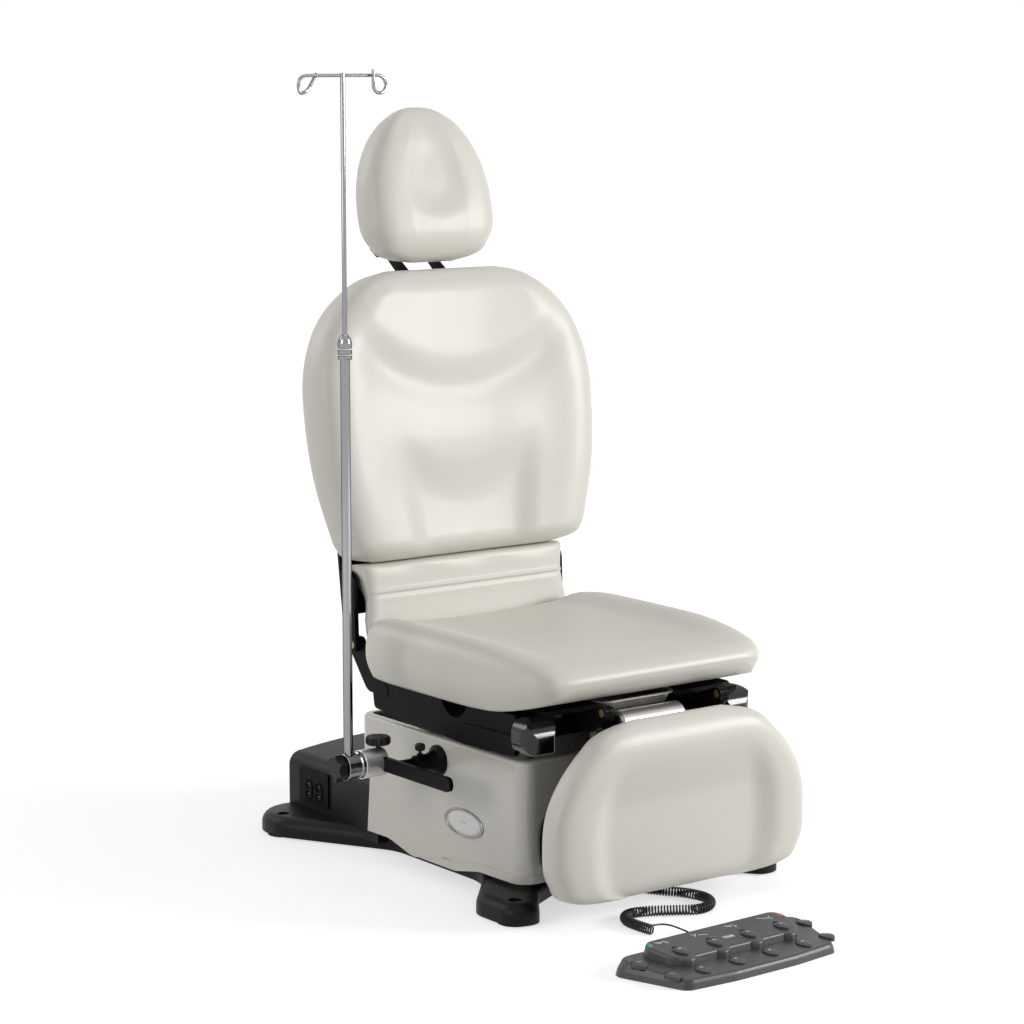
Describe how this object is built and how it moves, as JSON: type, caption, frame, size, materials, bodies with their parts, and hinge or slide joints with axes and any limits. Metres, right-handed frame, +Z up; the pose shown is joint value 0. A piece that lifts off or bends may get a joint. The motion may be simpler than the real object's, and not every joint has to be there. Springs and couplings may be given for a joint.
{
  "type": "power procedure chair",
  "caption": "Powered clinic procedure chair with dished seat, reclining back, headrest, leg rest, clamped fluid pole on a side rail and a corded multi-button foot control",
  "frame": {"origin": "on the floor, at the centre of the four floor anchor holes", "axes": "+Z up, the chair faces -Y, X=0 is its plane of symmetry"},
  "size_m": [0.8866, 1.4631, 1.618],
  "materials": {
    "black_casting": "fine textured black coating",
    "black_steel": "satin black coating",
    "shell_white": "smooth warm white moulding",
    "upholstery": "warm off-white vinyl with a soft sheen",
    "shell_black": "black moulding",
    "knuckle_black": "glossy black moulding",
    "column_steel": "bright steel",
    "satin_aluminium": "satin silver",
    "arm_black": "black coating",
    "chrome": "bright chrome",
    "pedal_grey": "dark grey moulding",
    "cord_black": "black cord jacket"
  },
  "bodies": {
    "base": {"base_casting": "black_casting", "left_side_cover": "shell_white", "right_side_cover": "shell_white", "front_cover": "shell_white", "back_cover": "shell_white", "rear_housing": "black_casting", "outlet_panel": "shell_black", "mains_inlet": "shell_black", "lift_outer_tube": "column_steel", "lift_jack": "black_steel", "arm_socket": "shell_black", "pedal_base": "pedal_grey", "pedal_cover": "pedal_grey", "cord_grommets": "cord_black", "control_cord": "cord_black"},
    "lift_stage_2": {"lift_tube_2": "column_steel"},
    "lift_stage_3": {"lift_tube_3": "column_steel"},
    "carriage": {"lift_carriage": "black_steel"},
    "seat": {"seat_plate": "black_steel", "seat_frame": "black_steel", "hinge_pins": "column_steel", "left_skirt": "black_casting", "right_skirt": "black_casting", "end_caps": "knuckle_black", "debris_tray": "satin_aluminium", "leg_drive": "satin_aluminium", "back_drive": "satin_aluminium", "seat_pad": "upholstery"},
    "back": {"back_frame": "black_casting", "back_shell": "shell_black", "back_pad": "upholstery", "back_flap": "upholstery"},
    "head_slide": {"headrest_bar": "black_steel"},
    "headrest": {"headrest_shell": "shell_black", "headrest_pad": "upholstery"},
    "leg_rest": {"leg_frame": "black_steel", "leg_shell": "shell_black", "leg_pad": "upholstery"},
    "arm": {"accessory_arm": "arm_black"},
    "arm_screw": {"arm_thumb_screw": "shell_black"},
    "clamp": {"clamp_body": "satin_aluminium"},
    "clamp_screw": {"clamp_knob": "shell_black"},
    "pole_socket": {"clamp_collar": "chrome"},
    "socket_screw": {"star_knob": "shell_black"},
    "pole": {"pole_lower": "chrome"},
    "pole_lock": {"pole_lock_collar": "chrome"},
    "pole_top": {"pole_upper": "chrome"},
    "up_button_1_body": {"up_button_1": "pedal_grey"},
    "up_button_2_body": {"up_button_2": "pedal_grey"},
    "up_button_3_body": {"up_button_3": "pedal_grey"},
    "up_button_4_body": {"up_button_4": "pedal_grey"},
    "down_button_1_body": {"down_button_1": "pedal_grey"},
    "down_button_2_body": {"down_button_2": "pedal_grey"},
    "down_button_3_body": {"down_button_3": "pedal_grey"},
    "down_button_4_body": {"down_button_4": "pedal_grey"},
    "corner_button_1_body": {"corner_button_1": "pedal_grey"},
    "corner_button_2_body": {"corner_button_2": "pedal_grey"},
    "corner_button_3_body": {"corner_button_3": "pedal_grey"},
    "corner_button_4_body": {"corner_button_4": "pedal_grey"}
  },
  "joints": [
    {"name": "lift", "type": "slide", "parent": "base", "child": "carriage", "axis": [0, 0, 1], "range_m": [0, 0.45]},
    {"name": "lift_2", "type": "slide", "parent": "base", "child": "lift_stage_2", "axis": [0, 0, 1], "range_m": [0, 0.15]},
    {"name": "lift_3", "type": "slide", "parent": "base", "child": "lift_stage_3", "axis": [0, 0, 1], "range_m": [0, 0.3]},
    {"name": "seat_tilt", "type": "hinge", "parent": "carriage", "child": "seat", "pos_m": [0, 0.135, 0.342], "axis": [-1, 0, 0], "range_deg": [0, 14]},
    {"name": "back_recline", "type": "hinge", "parent": "seat", "child": "back", "pos_m": [0, 0.2, 0.44], "axis": [-1, 0, 0], "range_deg": [0, 82]},
    {"name": "leg_raise", "type": "hinge", "parent": "seat", "child": "leg_rest", "pos_m": [0, -0.48, 0.401], "axis": [-1, 0, 0], "range_deg": [0, 90]},
    {"name": "headrest_height", "type": "slide", "parent": "back", "child": "head_slide", "axis": [0, 0.1305, 0.9914], "range_m": [0, 0.1]},
    {"name": "headrest_tilt", "type": "hinge", "parent": "head_slide", "child": "headrest", "pos_m": [0, 0.38504, 1.23263], "axis": [-1, 0, 0], "range_deg": [0, 30]},
    {"name": "arm_slide", "type": "slide", "parent": "base", "child": "arm", "axis": [-1, 0, 0], "range_m": [0, 0.04]},
    {"name": "arm_screw_turn", "type": "hinge", "parent": "base", "child": "arm_screw", "pos_m": [-0.303, -0.087, 0.28], "axis": [0, 0, 1], "continuous": true},
    {"name": "clamp_slide", "type": "slide", "parent": "arm", "child": "clamp", "axis": [0, 1, 0], "range_m": [-0.16, 0]},
    {"name": "clamp_screw_turn", "type": "hinge", "parent": "clamp", "child": "clamp_screw", "pos_m": [-0.36175, -0.025, 0.29], "axis": [0, 0, 1], "continuous": true},
    {"name": "pole_tilt", "type": "hinge", "parent": "clamp", "child": "pole_socket", "pos_m": [-0.433, -0.025, 0.249], "axis": [1, 0, 0], "range_deg": [-90, 90]},
    {"name": "socket_screw_turn", "type": "hinge", "parent": "pole_socket", "child": "socket_screw", "pos_m": [-0.45, -0.025, 0.249], "axis": [1, 0, 0], "continuous": true},
    {"name": "pole_turn", "type": "hinge", "parent": "pole_socket", "child": "pole", "pos_m": [-0.433, -0.025, 0.3], "axis": [0, 0, 1], "continuous": true},
    {"name": "pole_extend", "type": "slide", "parent": "pole", "child": "pole_top", "axis": [0, 0, 1], "range_m": [-0.43, 0.16]},
    {"name": "pole_lock_turn", "type": "hinge", "parent": "pole", "child": "pole_lock", "pos_m": [-0.433, -0.025, 1.08], "axis": [0, 0, 1], "range_deg": [0, 180]},
    {"name": "up_button_1_press", "type": "slide", "parent": "base", "child": "up_button_1_body", "axis": [0, 0, -1], "range_m": [0, 0.0025], "stiffness_N_per_m": 800},
    {"name": "up_button_2_press", "type": "slide", "parent": "base", "child": "up_button_2_body", "axis": [0, 0, -1], "range_m": [0, 0.0025], "stiffness_N_per_m": 800},
    {"name": "up_button_3_press", "type": "slide", "parent": "base", "child": "up_button_3_body", "axis": [0, 0, -1], "range_m": [0, 0.0025], "stiffness_N_per_m": 800},
    {"name": "up_button_4_press", "type": "slide", "parent": "base", "child": "up_button_4_body", "axis": [0, 0, -1], "range_m": [0, 0.0025], "stiffness_N_per_m": 800},
    {"name": "down_button_1_press", "type": "slide", "parent": "base", "child": "down_button_1_body", "axis": [0, 0, -1], "range_m": [0, 0.0025], "stiffness_N_per_m": 800},
    {"name": "down_button_2_press", "type": "slide", "parent": "base", "child": "down_button_2_body", "axis": [0, 0, -1], "range_m": [0, 0.0025], "stiffness_N_per_m": 800},
    {"name": "down_button_3_press", "type": "slide", "parent": "base", "child": "down_button_3_body", "axis": [0, 0, -1], "range_m": [0, 0.0025], "stiffness_N_per_m": 800},
    {"name": "down_button_4_press", "type": "slide", "parent": "base", "child": "down_button_4_body", "axis": [0, 0, -1], "range_m": [0, 0.0025], "stiffness_N_per_m": 800},
    {"name": "corner_button_1_press", "type": "slide", "parent": "base", "child": "corner_button_1_body", "axis": [0, 0, -1], "range_m": [0, 0.0025], "stiffness_N_per_m": 800},
    {"name": "corner_button_2_press", "type": "slide", "parent": "base", "child": "corner_button_2_body", "axis": [0, 0, -1], "range_m": [0, 0.0025], "stiffness_N_per_m": 800},
    {"name": "corner_button_3_press", "type": "slide", "parent": "base", "child": "corner_button_3_body", "axis": [0, 0, -1], "range_m": [0, 0.0025], "stiffness_N_per_m": 800},
    {"name": "corner_button_4_press", "type": "slide", "parent": "base", "child": "corner_button_4_body", "axis": [0, 0, -1], "range_m": [0, 0.0025], "stiffness_N_per_m": 800}
  ],
  "couplings": [
    {"joint": "lift_2", "follows": "lift", "ratio": 0.33333},
    {"joint": "lift_3", "follows": "lift", "ratio": 0.66667}
  ]
}
